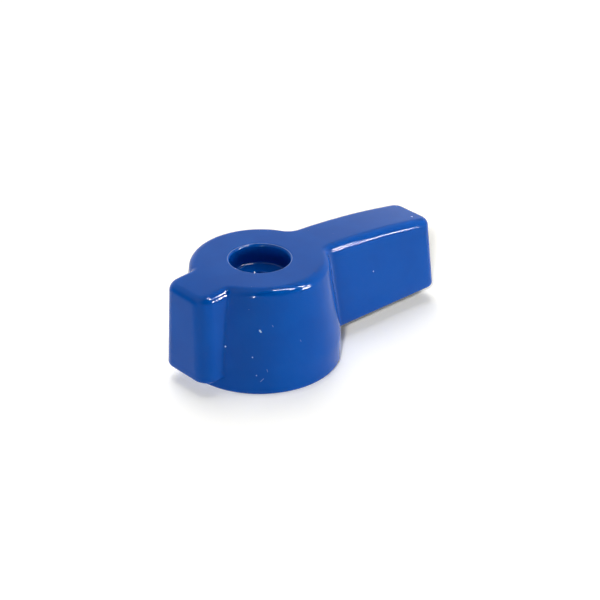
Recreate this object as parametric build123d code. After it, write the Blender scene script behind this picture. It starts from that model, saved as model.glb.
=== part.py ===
from build123d import *
import math
import os

# Valve lever handle: one moulding in gloss plastic, in millimetres.
# The origin is on the hub's axis at the plane of its foot, +X runs along the lever and +Z up.

# Hub, from its foot up
SKIRT_RADIUS = 19.1
SKIRT_HEIGHT = 6.45
SKIRT_BLEND = 8.0
FOOT_ROUND = 1.1
NECK_RADIUS = 16.3
HEIGHT = 26.0
EDGE_ROUND = 2.15

# Lever and stub, with widths and reaches given at the level of the flat top
ARM_UNDERSIDE = 3.45
ARM_FOOT_ROUND = 1.0
SIDE_DRAFT = 2.4
LEVER_REACH = 49.8
LEVER_ROOT_WIDTH = 13.75
LEVER_TIP_WIDTH = 12.75
LEVER_END_DRAFT = 5.0
LEVER_ARCH_RADIUS = 221.0
LEVER_CORNER_ROUND = 3.1
LEVER_COVE_ROUND = 3.0
STUB_REACH = 23.1
STUB_WIDTH = 13.9
STUB_END_DRAFT = 1.2
STUB_ARCH_RADIUS = 105.0
STUB_CORNER_ROUND = 3.6
STUB_COVE_ROUND = 0.8

# Round seat for the screw head in the top, the flat round it, and the screw's hole
SEAT_RADIUS = 7.1
SEAT_DEPTH = 5.1
SEAT_RIM_ROUND = 0.75
SEAT_FLOOR_ROUND = 0.5
SEAT_MARGIN = 0.75
SCREW_RADIUS = 2.75
SCREW_EDGE_BREAK = 0.3

# Walls round the hollows, the straight mouth that slips over the valve, and the draft of the lever's core
WALL = 2.4
MOUTH_DEPTH = 3.0
TOP_WALL = 2.6
WEB = 3.0
CORE_STANDOFF = 0.5
CORE_DRAFT = 1.0
CORE_ROUND = 1.0

# Boss with a serrated socket for the valve's spindle
BOSS_FOOT = 6.0
BOSS_WALL = 2.4
PILOT_RADIUS = 4.3
PILOT_DEPTH = 2.0
TEETH = 20
TOOTH_TIP_RADIUS = 3.7
TOOTH_ROOT_RADIUS = 4.05
TOOTH_TIP_LAND = 0.3
TOOTH_ROOT_LAND = 0.2

# How far a cutting solid runs past the face that it cuts
PAST = 5.0

# What counts as a tall edge, as a share of the height, and as a top face, in degrees off level
TALL_SHARE = 0.7
TOP_SLOPE = 20.0


def grow(angle, height):
    """Sideways growth of a wall with this draft angle over this height."""
    return height * math.tan(math.radians(angle))


def tall_edges(solid, height):
    """Edges that climb most of a height, such as the corners of a bar."""
    return solid.edges().filter_by(lambda edge: edge.bounding_box().size.Z > TALL_SHARE * height)


def from_axis(edge):
    """Distance of an edge's middle from the hub's axis."""
    return math.hypot(edge.center().X, edge.center().Y)


def top_faces(solid):
    """The flat and the two arches, which look up."""
    steepest = math.cos(math.radians(TOP_SLOPE))
    return solid.faces().filter_by(lambda face: face.normal_at(face.center()).Z > steepest)


def outer_edges(faces):
    """Edges that bound a group of faces, without those that two of them share."""
    edges = faces.edges()
    return edges.filter_by(lambda edge: sum(edge.is_same(other) for other in edges) == 1)


def upright(radius, foot, height):
    """Cylinder on the hub's axis that stands on a level."""
    return Pos(0, 0, foot) * Cylinder(radius, height, align=(Align.CENTER, Align.CENTER, Align.MIN))


def hub_outside():
    """Turned form: straight skirt, conical wall up to the neck, square top edge."""
    corners = [(NECK_RADIUS, HEIGHT), (0, HEIGHT), (0, 0), (SKIRT_RADIUS, 0), (SKIRT_RADIUS, SKIRT_HEIGHT)]
    section = make_face(Polyline(*corners, close=True))
    foot = section.vertices().sort_by_distance((SKIRT_RADIUS, 0))[0]
    section = fillet(foot, FOOT_ROUND)
    shoulder = section.vertices().sort_by_distance((SKIRT_RADIUS, SKIRT_HEIGHT))[0]
    section = fillet(shoulder, SKIRT_BLEND)
    return revolve(Plane.XZ * section, Axis.Z)


def arm(reach, root_width, tip_width, end_draft):
    """Bar along +X from the hub's axis, with drafted sides and end and a level top and underside."""
    depth = HEIGHT - ARM_UNDERSIDE
    foot_reach = reach + grow(end_draft, depth)
    past_reach = foot_reach + PAST
    root_half = root_width / 2
    past_half = (root_width + (tip_width - root_width) * past_reach / reach) / 2
    ends = [(0, root_half), (0, -root_half), (past_reach, -past_half), (past_reach, past_half)]
    plan = make_face(Polyline(*ends, close=True))
    bar = extrude(Plane.XY.offset(HEIGHT) * plan, -depth, taper=-SIDE_DRAFT)
    corners = [(0, ARM_UNDERSIDE), (foot_reach, ARM_UNDERSIDE), (reach, HEIGHT), (0, HEIGHT)]
    side = make_face(Polyline(*corners, close=True))
    return bar & extrude(Plane.XZ * side, root_width, both=True)


def above_top(drop=0.0):
    """All that lies above the top: flat round the seat, and a falling arch along the lever and the stub."""
    level = HEIGHT - drop
    flat_half = SEAT_RADIUS + SEAT_RIM_ROUND + SEAT_MARGIN
    lever_run = LEVER_REACH + PAST - flat_half
    stub_run = STUB_REACH + PAST - flat_half
    lever_fall = LEVER_ARCH_RADIUS - math.sqrt(LEVER_ARCH_RADIUS**2 - lever_run**2)
    stub_fall = STUB_ARCH_RADIUS - math.sqrt(STUB_ARCH_RADIUS**2 - stub_run**2)
    lever_far = (flat_half + lever_run, level - lever_fall)
    stub_far = (-flat_half - stub_run, level - stub_fall)
    line = Line((-flat_half, level), (flat_half, level))
    line += TangentArc((flat_half, level), lever_far, tangent=(1, 0))
    line += TangentArc((-flat_half, level), stub_far, tangent=(-1, 0))
    line += Polyline(lever_far, (lever_far[0], HEIGHT + PAST), (stub_far[0], HEIGHT + PAST), stub_far)
    return extrude(Plane.XZ * make_face(line), SKIRT_RADIUS + PAST, both=True)


def outside():
    """The whole handle as seen from outside, still solid within."""
    depth = HEIGHT - ARM_UNDERSIDE
    lever = arm(LEVER_REACH, LEVER_ROOT_WIDTH, LEVER_TIP_WIDTH, LEVER_END_DRAFT)
    lever = fillet(tall_edges(lever, depth).sort_by(Axis.X)[-2:], LEVER_CORNER_ROUND)
    stub = arm(STUB_REACH, STUB_WIDTH, STUB_WIDTH, STUB_END_DRAFT)
    stub = fillet(tall_edges(stub, depth).sort_by(Axis.X)[-2:], STUB_CORNER_ROUND)

    hub = hub_outside()
    body = split(hub, Plane.XY.offset(ARM_UNDERSIDE), keep=Keep.TOP) + lever + Rot(0, 0, 180) * stub
    for side, cove_round in ((1, LEVER_COVE_ROUND), (-1, STUB_COVE_ROUND)):
        inner = tall_edges(body, depth).filter_by(lambda edge: from_axis(edge) < SKIRT_RADIUS)
        coves = inner.filter_by(lambda edge: side * edge.center().X > 0)
        body = fillet(coves, cove_round)
    body -= above_top()
    body = fillet(outer_edges(top_faces(body)), EDGE_ROUND)
    foot = body.faces().sort_by(Axis.Z)[0]
    body = fillet(foot.outer_wire().edges(), ARM_FOOT_ROUND)
    return body + split(hub, Plane.XY.offset(ARM_UNDERSIDE + 2 * ARM_FOOT_ROUND), keep=Keep.BOTTOM)


def hub_hollow():
    """Room for the valve's neck: a straight mouth and a drafted bore, round the seat's block and the boss."""
    ceiling = HEIGHT - TOP_WALL
    block_foot = HEIGHT - SEAT_DEPTH - WEB
    mouth = SKIRT_RADIUS - WALL
    corners = [(0, -PAST), (mouth, -PAST), (mouth, MOUTH_DEPTH), (NECK_RADIUS - WALL, ceiling), (0, ceiling)]
    outline = Polyline(*corners, close=True)
    bore = revolve(Plane.XZ * make_face(outline), Axis.Z)
    block = upright(SEAT_RADIUS + WALL, block_foot, HEIGHT)
    boss = upright(PILOT_RADIUS + BOSS_WALL, BOSS_FOOT, HEIGHT)
    return bore - block - boss


def lever_hollow():
    """Core from below inside the lever, with an even wall and its root standing off from the skirt."""
    core = arm(LEVER_REACH - WALL, LEVER_ROOT_WIDTH - 2 * WALL, LEVER_TIP_WIDTH - 2 * WALL, LEVER_END_DRAFT)
    root_foot = SKIRT_RADIUS + CORE_STANDOFF
    root_top = root_foot + grow(CORE_DRAFT, HEIGHT)
    root = Cone(root_foot, root_top, HEIGHT, align=(Align.CENTER, Align.CENTER, Align.MIN))
    core = core - root - above_top(TOP_WALL)
    depth = HEIGHT - TOP_WALL - ARM_UNDERSIDE
    core = fillet(tall_edges(core, depth), CORE_ROUND)
    return core


def seat_cut():
    """Round seat with a rounded rim and floor corner, and the screw's hole down through the web."""
    floor = HEIGHT - SEAT_DEPTH
    floor_end = (SEAT_RADIUS - SEAT_FLOOR_ROUND, floor)
    wall_foot = (SEAT_RADIUS, floor + SEAT_FLOOR_ROUND)
    wall_head = (SEAT_RADIUS, HEIGHT - SEAT_RIM_ROUND)
    rim = (SEAT_RADIUS + SEAT_RIM_ROUND, HEIGHT)
    line = Polyline((0, HEIGHT + PAST), (0, floor), floor_end)
    line += TangentArc(floor_end, wall_foot, tangent=(1, 0))
    line += Line(wall_foot, wall_head)
    line += TangentArc(wall_head, rim, tangent=(0, 1))
    line += Polyline(rim, (rim[0], HEIGHT + PAST), (0, HEIGHT + PAST))
    seat = revolve(Plane.XZ * make_face(line), Axis.Z)
    hole = Pos(0, 0, floor) * Cylinder(SCREW_RADIUS, 2 * (WEB + PAST))
    lead_radius = SCREW_RADIUS + SCREW_EDGE_BREAK
    lead = Cone(SCREW_RADIUS, lead_radius, SCREW_EDGE_BREAK, align=(Align.CENTER, Align.CENTER, Align.MAX))
    return seat + hole + Pos(0, 0, floor) * lead


def spindle_socket():
    """Serrated socket with a round pilot at its mouth."""
    points = []
    for tooth in range(TEETH):
        middle = 360 * tooth / TEETH
        tip_half = math.degrees(TOOTH_TIP_LAND / 2 / TOOTH_TIP_RADIUS)
        root_half = math.degrees(TOOTH_ROOT_LAND / 2 / TOOTH_ROOT_RADIUS)
        half_pitch = 180 / TEETH
        for radius, angle in (
            (TOOTH_TIP_RADIUS, middle - tip_half),
            (TOOTH_TIP_RADIUS, middle + tip_half),
            (TOOTH_ROOT_RADIUS, middle + half_pitch - root_half),
            (TOOTH_ROOT_RADIUS, middle + half_pitch + root_half),
        ):
            turn = math.radians(angle)
            points.append((radius * math.cos(turn), radius * math.sin(turn)))
    top = HEIGHT - SEAT_DEPTH - WEB
    serrations = Pos(0, 0, BOSS_FOOT) * extrude(make_face(Polyline(*points, close=True)), top - BOSS_FOOT)
    return serrations + upright(PILOT_RADIUS, BOSS_FOOT - PAST, PILOT_DEPTH + PAST)


def lever_handle():
    """The moulding, with its hollows cut from below and its seat from above."""
    body = outside()
    for cut in (hub_hollow(), lever_hollow(), seat_cut(), spindle_socket()):
        body -= cut
    body.label = "lever_handle"
    return body


os.makedirs("parts", exist_ok=True)
handle = lever_handle()
export_step(handle, "parts/lever_handle.step")
print(f"lever_handle: {len(handle.solids())} solid, {handle.volume / 1000:.2f} cm3, {handle.bounding_box()}")
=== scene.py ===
import math

import bpy
from mathutils import Matrix, Vector

# The photograph's frame and focal length in pixels, and the camera that took it, in metres and degrees
PHOTO_SIDE = 600
FOCAL_LENGTH = 2000.0
ORIGIN_AT = (261.0, 354.3)
DISTANCE = 0.4783
AZIMUTH = -41.1
ELEVATION = 28.65
ROLL = -0.14
CLIP_START = 0.01
SENSOR_MILLIMETRES = 36.0

# Soft square lamps that light the handle alone: direction, width in metres and power in watts
LAMP_DISTANCE = 0.7
SOFT_LAMPS = {
    "low_left": {"azimuth": -140, "elevation": 6, "width": 0.2, "watts": 1.7},
    "low_camera": {"azimuth": -50, "elevation": 6, "width": 0.2, "watts": 2.1},
    "low_right": {"azimuth": 40, "elevation": 6, "width": 0.2, "watts": 3.3},
    "low_back": {"azimuth": 175, "elevation": 6, "width": 0.2, "watts": 3.0},
    "high_back": {"azimuth": 130, "elevation": 45, "width": 0.35, "watts": 2.1},
    "high_right": {"azimuth": 85, "elevation": 45, "width": 0.35, "watts": 1.55},
    "overhead": {"azimuth": 0, "elevation": 88, "width": 0.35, "watts": 1.4},
}

# Suns that light the floor alone: direction, width of the disc in degrees and share of white
FLOOR_SUNS = {
    "beside_camera": {"azimuth": -48.5, "elevation": 31, "width": 6, "share": 0.40},
    "above": {"azimuth": 175, "elevation": 84, "width": 30, "share": 0.27},
    "behind": {"azimuth": 150, "elevation": 58, "width": 35, "share": 0.31},
}

# Bright strips that only gloss shows: direction, width and height in metres, and brightness against white.
# They keep clear of what the tops of hub and stub mirror towards a camera behind the handle
STRIP_DISTANCE = 1.0
STRIPS = {
    "strip_low": {"azimuth": 36, "elevation": 4, "size": (0.08, 0.13), "brightness": 280},
    "strip_block": {"azimuth": 31.5, "elevation": 12.5, "size": (0.09, 0.16), "brightness": 240},
    "strip_tip": {"azimuth": 42, "elevation": 2.5, "size": (0.16, 0.09), "brightness": 150},
    "strip_middle": {"azimuth": 43, "elevation": 21.5, "size": (0.08, 0.15), "brightness": 160},
    "strip_upper": {"azimuth": 38, "elevation": 38, "size": (0.08, 0.30), "brightness": 160},
    "strip_high": {"azimuth": 24, "elevation": 60, "size": (0.10, 0.60), "brightness": 110},
    "small_near_camera": {"azimuth": -50, "elevation": 10, "size": (0.10, 0.10), "brightness": 260},
}

# Darker and brighter patches of the white surroundings, which only gloss shows: direction, degrees from the
# middle to where each is full and to where it ends, and change of brightness
PATCHES = {
    "dark_front": {"azimuth": 8, "elevation": 35, "inner": 18, "outer": 48, "change": -0.8},
    "dark_over_camera": {"azimuth": -45, "elevation": 50, "inner": 15, "outer": 40, "change": -0.8},
    "dark_left": {"azimuth": -120, "elevation": 5, "inner": 15, "outer": 45, "change": -0.85},
    "bright_left": {"azimuth": -105, "elevation": 52, "inner": 10, "outer": 40, "change": 0.9},
}

# White surroundings: how bright they are as light, and as they are seen
SURROUNDINGS_LIGHT = 0.03
WHITE = 1.0

# Floor: the shade that lights the object, and the one that is seen, warm to offset the handle's blue light
FLOOR_SIDE = 4.0
FLOOR_SHADE = (0.68, 0.68, 0.68)
FLOOR_SEEN_SHADE = (1.0, 0.99, 0.96)
FLOOR_SEEN_LIFT = 0.13
FLOOR_LIFT_COLOUR = (1.0, 0.97, 0.80)

# Plastic: colours and gloss, and the sizes and heights of its slow changes and grain in millimetres
BLUE = (0.0, 0.077, 0.385)
BLUE_DEEP = (0.0, 0.070, 0.360)
SPECULAR = 0.11
GLOSS = 0.035
GLOSS_DULLER = 0.07
CLOUD_SIZE = 9.0
CLOUD_SPAN = (0.35, 0.65)
SINK_SIZE = 12.0
SINK_HEIGHT = 0.006
GRAIN_SIZE = 0.4
GRAIN_HEIGHT = 0.0001
SMOOTH_DETAIL = 1.0
FINE_DETAIL = 2.0
NOISE_MIDDLE = (0.5, 0.5, 0.5)
MILLIMETRES = 1000.0

# Dust and scratches that the photograph shows: pixels on the handle, radius in millimetres, share covered.
# A mark is full up to its core and gone at its edge, both as shares of its radius
# The same pale colour also paints the highlight line on the seat's lip
DUST_AND_HIGHLIGHT_COLOUR = (0.60, 0.80, 1.0)
DUST_ROUGHNESS = 0.7
DUST_HEIGHT = 0.03
MARK_CORE = 0.6
MARK_EDGE = 1.3
MARKS = {
    "wall_speck": {"start": (259.7, 330.6), "end": (260.9, 332.0), "radius": 0.185, "cover": 1.0},
    "corner_speck": {"start": (225.4, 346.4), "end": (225.5, 346.7), "radius": 0.155, "cover": 1.0},
    "wall_dot": {"start": (252.5, 357.3), "end": (252.5, 357.6), "radius": 0.13, "cover": 0.7},
    "skirt_dot": {"start": (256.5, 375.4), "end": (256.5, 375.7), "radius": 0.14, "cover": 0.4},
    "skirt_scratch": {"start": (260.6, 381.6), "end": (263.6, 378.8), "radius": 0.08, "cover": 0.24},
    "skirt_hair": {"start": (266.9, 369.5), "end": (267.7, 371.9), "radius": 0.08, "cover": 0.15},
    "wall_hair": {"start": (272.4, 325.4), "end": (273.2, 326.8), "radius": 0.09, "cover": 0.16},
    "wall_faint": {"start": (300.4, 340.0), "end": (301.1, 341.4), "radius": 0.09, "cover": 0.13},
    "lever_dot": {"start": (373.4, 271.2), "end": (373.5, 271.5), "radius": 0.15, "cover": 0.6},
    "tip_dot": {"start": (411.6, 216.5), "end": (412.1, 216.5), "radius": 0.20, "cover": 0.8},
}

# Fine dust and hairlines that lie all round, in millimetres and shares
LOOSE_SPACING = 1.6
LOOSE_RADIUS = 0.07
LOOSE_CORE = 0.5
LOOSE_SHARE = 0.22
LOOSE_COVER = 0.3
HAIRLINE_SPACING = 7.0
HAIRLINE_WIDTH = 0.05
HAIRLINE_DEPTH = 0.001
HAIRLINE_KEPT = (0.58, 0.64)

# Painted highlight round the lip of the screw's seat: a fine light line that stands in for the rim's
# reflection, in millimetres and share covered
LIP_RADIUS = 7.5
LIP_WIDTH = 0.18
LIP_TOP = 25.8
LIP_HIGHLIGHT_COVER = 0.24


def direction(azimuth, elevation):
    """Unit vector towards an azimuth, counted as for the views, and an elevation."""
    turn = math.radians(azimuth)
    rise = math.radians(elevation)
    return Vector((math.sin(turn) * math.cos(rise), -math.cos(turn) * math.cos(rise), math.sin(rise)))


def add_camera():
    """Camera at the photograph's angle, with the row's origin at its place in the frame."""
    back = direction(AZIMUTH, ELEVATION)
    level_right = Vector((math.cos(math.radians(AZIMUTH)), math.sin(math.radians(AZIMUTH)), 0))
    up = back.cross(level_right)
    turn = math.radians(ROLL)
    right = level_right * math.cos(turn) + up * math.sin(turn)
    up = up * math.cos(turn) - level_right * math.sin(turn)
    across = (ORIGIN_AT[0] - PHOTO_SIDE / 2) / FOCAL_LENGTH
    down = (ORIGIN_AT[1] - PHOTO_SIDE / 2) / FOCAL_LENGTH
    place = (back - right * across + up * down) * DISTANCE

    data = bpy.data.cameras.new("photo_camera")
    data.sensor_width = SENSOR_MILLIMETRES
    data.lens = SENSOR_MILLIMETRES * FOCAL_LENGTH / PHOTO_SIDE
    data.clip_start = CLIP_START
    camera = bpy.data.objects.new("photo_camera", data)
    axes = Matrix((right, up, back)).transposed()
    camera.matrix_world = Matrix.Translation(place) @ axes.to_4x4()
    bpy.context.scene.collection.objects.link(camera)
    bpy.context.scene.camera = camera


def add_lamp(name, azimuth, elevation, distance, size, watts):
    """Rectangular lamp that looks at the origin from a direction."""
    data = bpy.data.lights.new(name, "AREA")
    data.shape = "RECTANGLE"
    data.size, data.size_y = size
    data.energy = watts
    lamp = bpy.data.objects.new(name, data)
    back = direction(azimuth, elevation)
    turn = back.to_track_quat("Z", "Y").to_matrix().to_4x4()
    lamp.matrix_world = Matrix.Translation(back * distance) @ turn
    bpy.context.scene.collection.objects.link(lamp)
    return lamp


def add_sun(name, azimuth, elevation, width, share):
    """Sun that brings a matt white floor to a share of white."""
    data = bpy.data.lights.new(name, "SUN")
    data.angle = math.radians(width)
    data.energy = share * math.pi / math.sin(math.radians(elevation))
    sun = bpy.data.objects.new(name, data)
    sun.matrix_world = direction(azimuth, elevation).to_track_quat("Z", "Y").to_matrix().to_4x4()
    sun.visible_glossy = False
    bpy.context.scene.collection.objects.link(sun)
    return sun


def light_only(lamps, piece):
    """Keep the light of some lamps for one piece; every piece still casts its shadow."""
    lit = bpy.data.collections.new(f"lit_{piece.name}")
    lit.objects.link(piece)
    for lamp in lamps:
        lamp.light_linking.receiver_collection = lit


def add_lamps(handle, floor):
    """Soft lamps for the handle, suns for the floor, and strips for gloss alone."""
    soft_lamps = []
    for name, soft in SOFT_LAMPS.items():
        size = (soft["width"], soft["width"])
        lamp = add_lamp(name, soft["azimuth"], soft["elevation"], LAMP_DISTANCE, size, soft["watts"])
        lamp.visible_glossy = False
        soft_lamps.append(lamp)
    light_only(soft_lamps, handle)
    light_only([add_sun(name, **sun) for name, sun in FLOOR_SUNS.items()], floor)
    for name, strip in STRIPS.items():
        watts = strip["brightness"] * math.pi * strip["size"][0] * strip["size"][1]
        lamp = add_lamp(name, strip["azimuth"], strip["elevation"], STRIP_DISTANCE, strip["size"], watts)
        lamp.visible_diffuse = False


class Tree:
    """Node tree with short calls that add a node, set or link its inputs, and hand back its output."""

    def __init__(self, owner):
        owner.use_nodes = True
        self.nodes = owner.node_tree.nodes
        self.links = owner.node_tree.links

    def add(self, kind, inputs, output=0, **settings):
        """Add a node of a kind, with values or links for its inputs and values for its settings."""
        node = self.nodes.new(kind)
        for name, value in settings.items():
            setattr(node, name, value)
        for socket, value in inputs.items():
            if isinstance(value, bpy.types.NodeSocket):
                self.links.new(value, node.inputs[socket])
            else:
                node.inputs[socket].default_value = value
        return node.outputs[output]

    def math(self, operation, first, second):
        return self.add("ShaderNodeMath", {0: first, 1: second}, operation=operation)

    def vector(self, operation, first, second, output=0):
        return self.add("ShaderNodeVectorMath", {0: first, 1: second}, output, operation=operation)

    def scaled(self, vector, factor):
        return self.add("ShaderNodeVectorMath", {0: vector, "Scale": factor}, operation="SCALE")

    def ramp(self, value, low, high, at_low=0.0, at_high=1.0, kind="SMOOTHSTEP"):
        """Map a value from between low and high, and hold it at the ends."""
        limits = {"From Min": low, "From Max": high, "To Min": at_low, "To Max": at_high}
        return self.add("ShaderNodeMapRange", {"Value": value, **limits}, interpolation_type=kind)

    def noise(self, place, size, detail):
        return self.add("ShaderNodeTexNoise", {"Vector": place, "Scale": 1 / size, "Detail": detail})

    def coloured_noise(self, place, size):
        """Three independent noises about 0."""
        inputs = {"Vector": place, "Scale": 1 / size, "Detail": SMOOTH_DETAIL}
        colour = self.add("ShaderNodeTexNoise", inputs, "Color")
        return self.vector("SUBTRACT", colour, NOISE_MIDDLE)

    def mix(self, share, first, second, kind):
        """First value at a share of 0, second at 1; kind is FLOAT or RGBA."""
        node = self.nodes.new("ShaderNodeMix")
        node.data_type = kind
        sockets = [socket for socket in node.inputs if socket.enabled]
        for socket, value in zip(sockets, (share, first, second)):
            if isinstance(value, bpy.types.NodeSocket):
                self.links.new(value, socket)
            else:
                socket.default_value = value
        return next(socket for socket in node.outputs if socket.enabled)

    def coordinates(self, kind):
        return self.add("ShaderNodeTexCoord", {}, kind)

    def ray(self, kind):
        return self.add("ShaderNodeLightPath", {}, f"Is {kind} Ray")

    def mirrored(self):
        """1 for rays that gloss or clear material shows."""
        return self.math("MAXIMUM", self.ray("Glossy"), self.ray("Transmission"))

    def seen(self):
        """1 for rays from the camera too."""
        return self.math("MAXIMUM", self.ray("Camera"), self.mirrored())


def add_world():
    """White surroundings for the camera, with the studio's dark and bright patches for gloss."""
    world = bpy.data.worlds.new("studio")
    tree = Tree(world)
    towards = tree.coordinates("Generated")
    brightness = WHITE
    for patch in PATCHES.values():
        middle = direction(patch["azimuth"], patch["elevation"])
        lean = tree.vector("DOT_PRODUCT", towards, middle, "Value")
        edge = math.cos(math.radians(patch["outer"]))
        full = math.cos(math.radians(patch["inner"]))
        brightness = tree.math("ADD", tree.ramp(lean, edge, full, 0.0, patch["change"]), brightness)
    in_gloss = tree.math("MULTIPLY", tree.mirrored(), brightness)
    in_view = tree.math("MULTIPLY", tree.ray("Camera"), WHITE)
    as_light = tree.math("MULTIPLY", tree.math("SUBTRACT", 1.0, tree.seen()), SURROUNDINGS_LIGHT)
    total = tree.math("ADD", tree.math("ADD", in_gloss, in_view), as_light)
    background = tree.nodes["Background"]
    background.inputs["Color"].default_value = (1, 1, 1, 1)
    tree.links.new(total, background.inputs["Strength"])
    bpy.context.scene.world = world


def floor_material():
    """Matt white that keeps the object's shadow and clips to white in the open."""
    material = bpy.data.materials.new("pale_floor")
    tree = Tree(material)
    tree.nodes.clear()
    seen = tree.seen()
    shade = tree.mix(seen, (*FLOOR_SHADE, 1), (*FLOOR_SEEN_SHADE, 1), "RGBA")
    matt = tree.add("ShaderNodeBsdfDiffuse", {"Color": shade})
    strength = tree.math("MULTIPLY", seen, FLOOR_SEEN_LIFT)
    lift = tree.add("ShaderNodeEmission", {"Color": (*FLOOR_LIFT_COLOUR, 1), "Strength": strength})
    both = tree.add("ShaderNodeAddShader", {0: matt, 1: lift})
    output = tree.nodes.new("ShaderNodeOutputMaterial")
    tree.links.new(both, output.inputs["Surface"])
    return material


def add_floor():
    """Plain square floor round the origin."""
    mesh = bpy.data.meshes.new("floor")
    half = FLOOR_SIDE / 2
    corners = [(-half, -half, 0), (half, -half, 0), (half, half, 0), (-half, half, 0)]
    mesh.from_pydata(corners, [], [(0, 1, 2, 3)])
    mesh.materials.append(floor_material())
    floor = bpy.data.objects.new("floor", mesh)
    bpy.context.scene.collection.objects.link(floor)
    return floor


def point_at(handle, pixel):
    """Point of the handle that a pixel of the photograph shows, in the handle's own millimetres."""
    across = (pixel[0] - PHOTO_SIDE / 2) / FOCAL_LENGTH
    down = (pixel[1] - PHOTO_SIDE / 2) / FOCAL_LENGTH
    camera = bpy.context.scene.camera.matrix_world
    to_handle = handle.matrix_world.inverted()
    start = to_handle @ camera.translation
    ray = to_handle @ (camera @ Vector((across, -down, -1))) - start
    found, place, _, _ = handle.ray_cast(start, ray.normalized())
    if not found:
        raise ValueError(f"no point of the handle at pixel {pixel}")
    return place * MILLIMETRES


def mark_cover(tree, place, start, end, radius, cover):
    """Cover of a speck or scratch that runs from one point to another."""
    run = end - start
    from_start = tree.vector("SUBTRACT", place, start)
    along = tree.vector("DOT_PRODUCT", from_start, run / run.length_squared, "Value")
    held = tree.ramp(along, 0.0, 1.0, kind="LINEAR")
    nearest = tree.scaled(run, held)
    gap = tree.vector("DISTANCE", from_start, nearest, "Value")
    return tree.ramp(gap, radius * MARK_CORE, radius * MARK_EDGE, cover, 0.0)


def loose_cover(tree, place):
    """Cover of the fine dust: a dot at the heart of a few cells."""
    cell = {"Vector": place, "Scale": 1 / LOOSE_SPACING}
    gap = tree.add("ShaderNodeTexVoronoi", cell, "Distance")
    chance = tree.add("ShaderNodeTexVoronoi", cell, "Color")
    radius = LOOSE_RADIUS / LOOSE_SPACING
    dot = tree.ramp(gap, radius * LOOSE_CORE, radius, LOOSE_COVER, 0.0)
    return tree.math("MULTIPLY", dot, tree.math("LESS_THAN", chance, LOOSE_SHARE))


def lip_highlight_cover(tree, place):
    """Cover of the painted highlight line on the seat's lip, strongest at its inner edge."""
    from_axis = tree.vector("LENGTH", tree.vector("MULTIPLY", place, (1, 1, 0)), (0, 0, 0), "Value")
    outside = tree.ramp(from_axis, LIP_RADIUS, LIP_RADIUS + LIP_WIDTH, LIP_HIGHLIGHT_COVER, 0.0)
    inside = tree.ramp(from_axis, LIP_RADIUS - LIP_WIDTH / 2, LIP_RADIUS)
    height = tree.vector("DOT_PRODUCT", place, (0, 0, 1), "Value")
    on_top = tree.ramp(height, LIP_TOP - LIP_WIDTH, LIP_TOP)
    return tree.math("MULTIPLY", outside, tree.math("MULTIPLY", inside, on_top))


def hairlines(tree, place):
    """Broken hairline marks: cell borders, kept only where a slow noise is high."""
    bend = tree.scaled(tree.coloured_noise(place, HAIRLINE_SPACING), HAIRLINE_SPACING)
    bent = tree.vector("ADD", place, bend)
    cell = {"Vector": bent, "Scale": 1 / HAIRLINE_SPACING}
    border = tree.add("ShaderNodeTexVoronoi", cell, "Distance", feature="DISTANCE_TO_EDGE")
    line = tree.ramp(border, 0.0, HAIRLINE_WIDTH / HAIRLINE_SPACING, 1.0, 0.0)
    kept = tree.ramp(tree.noise(place, HAIRLINE_SPACING, SMOOTH_DETAIL), *HAIRLINE_KEPT)
    return tree.math("MULTIPLY", line, kept)


def plastic(handle):
    """Glossy moulded blue with slow clouds and sinks, a fine grain, dust and hairline marks, and a painted
    highlight line on the seat's lip.
    """
    material = bpy.data.materials.new("gloss_blue_plastic")
    tree = Tree(material)
    place = tree.scaled(tree.coordinates("Object"), MILLIMETRES)

    dust = loose_cover(tree, place)
    for mark in MARKS.values():
        start = point_at(handle, mark["start"])
        end = point_at(handle, mark["end"])
        cover = mark_cover(tree, place, start, end, mark["radius"], mark["cover"])
        dust = tree.math("MAXIMUM", dust, cover)

    cloud = tree.ramp(tree.noise(place, CLOUD_SIZE, FINE_DETAIL), *CLOUD_SPAN)
    clean = tree.mix(cloud, (*BLUE, 1), (*BLUE_DEEP, 1), "RGBA")
    gloss = tree.ramp(cloud, 0.0, 1.0, GLOSS, GLOSS_DULLER, "LINEAR")
    sink = tree.math("MULTIPLY", tree.noise(place, SINK_SIZE, SMOOTH_DETAIL), SINK_HEIGHT)
    grain = tree.math("MULTIPLY", tree.noise(place, GRAIN_SIZE, FINE_DETAIL), GRAIN_HEIGHT)
    raised = tree.math("MULTIPLY", dust, DUST_HEIGHT)
    worn = tree.math("MULTIPLY", hairlines(tree, place), -HAIRLINE_DEPTH)
    height = tree.math("ADD", tree.math("ADD", sink, grain), tree.math("ADD", raised, worn))

    shader = tree.nodes["Principled BSDF"]
    shader.inputs["Specular IOR Level"].default_value = SPECULAR
    # Dust and the painted highlight line on the seat's lip both take the pale colour
    light = tree.math("MAXIMUM", dust, lip_highlight_cover(tree, place))
    tree.links.new(tree.mix(light, clean, (*DUST_AND_HIGHLIGHT_COLOUR, 1), "RGBA"), shader.inputs["Base Color"])
    tree.links.new(tree.mix(dust, gloss, DUST_ROUGHNESS, "FLOAT"), shader.inputs["Roughness"])
    bump = tree.add("ShaderNodeBump", {"Height": height, "Distance": 1 / MILLIMETRES})
    tree.links.new(bump, shader.inputs["Normal"])
    return material


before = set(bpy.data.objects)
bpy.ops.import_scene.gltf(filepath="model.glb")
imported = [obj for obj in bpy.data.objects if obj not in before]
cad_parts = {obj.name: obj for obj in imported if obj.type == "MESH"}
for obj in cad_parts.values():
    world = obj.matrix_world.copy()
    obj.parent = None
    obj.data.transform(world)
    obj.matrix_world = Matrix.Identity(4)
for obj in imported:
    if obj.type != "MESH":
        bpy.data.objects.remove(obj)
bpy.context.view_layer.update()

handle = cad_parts["lever_handle"]

add_camera()
handle.data.materials.clear()
handle.data.materials.append(plastic(handle))
floor = add_floor()
add_lamps(handle, floor)
add_world()

scene = bpy.context.scene
scene.view_settings.view_transform = "Standard"
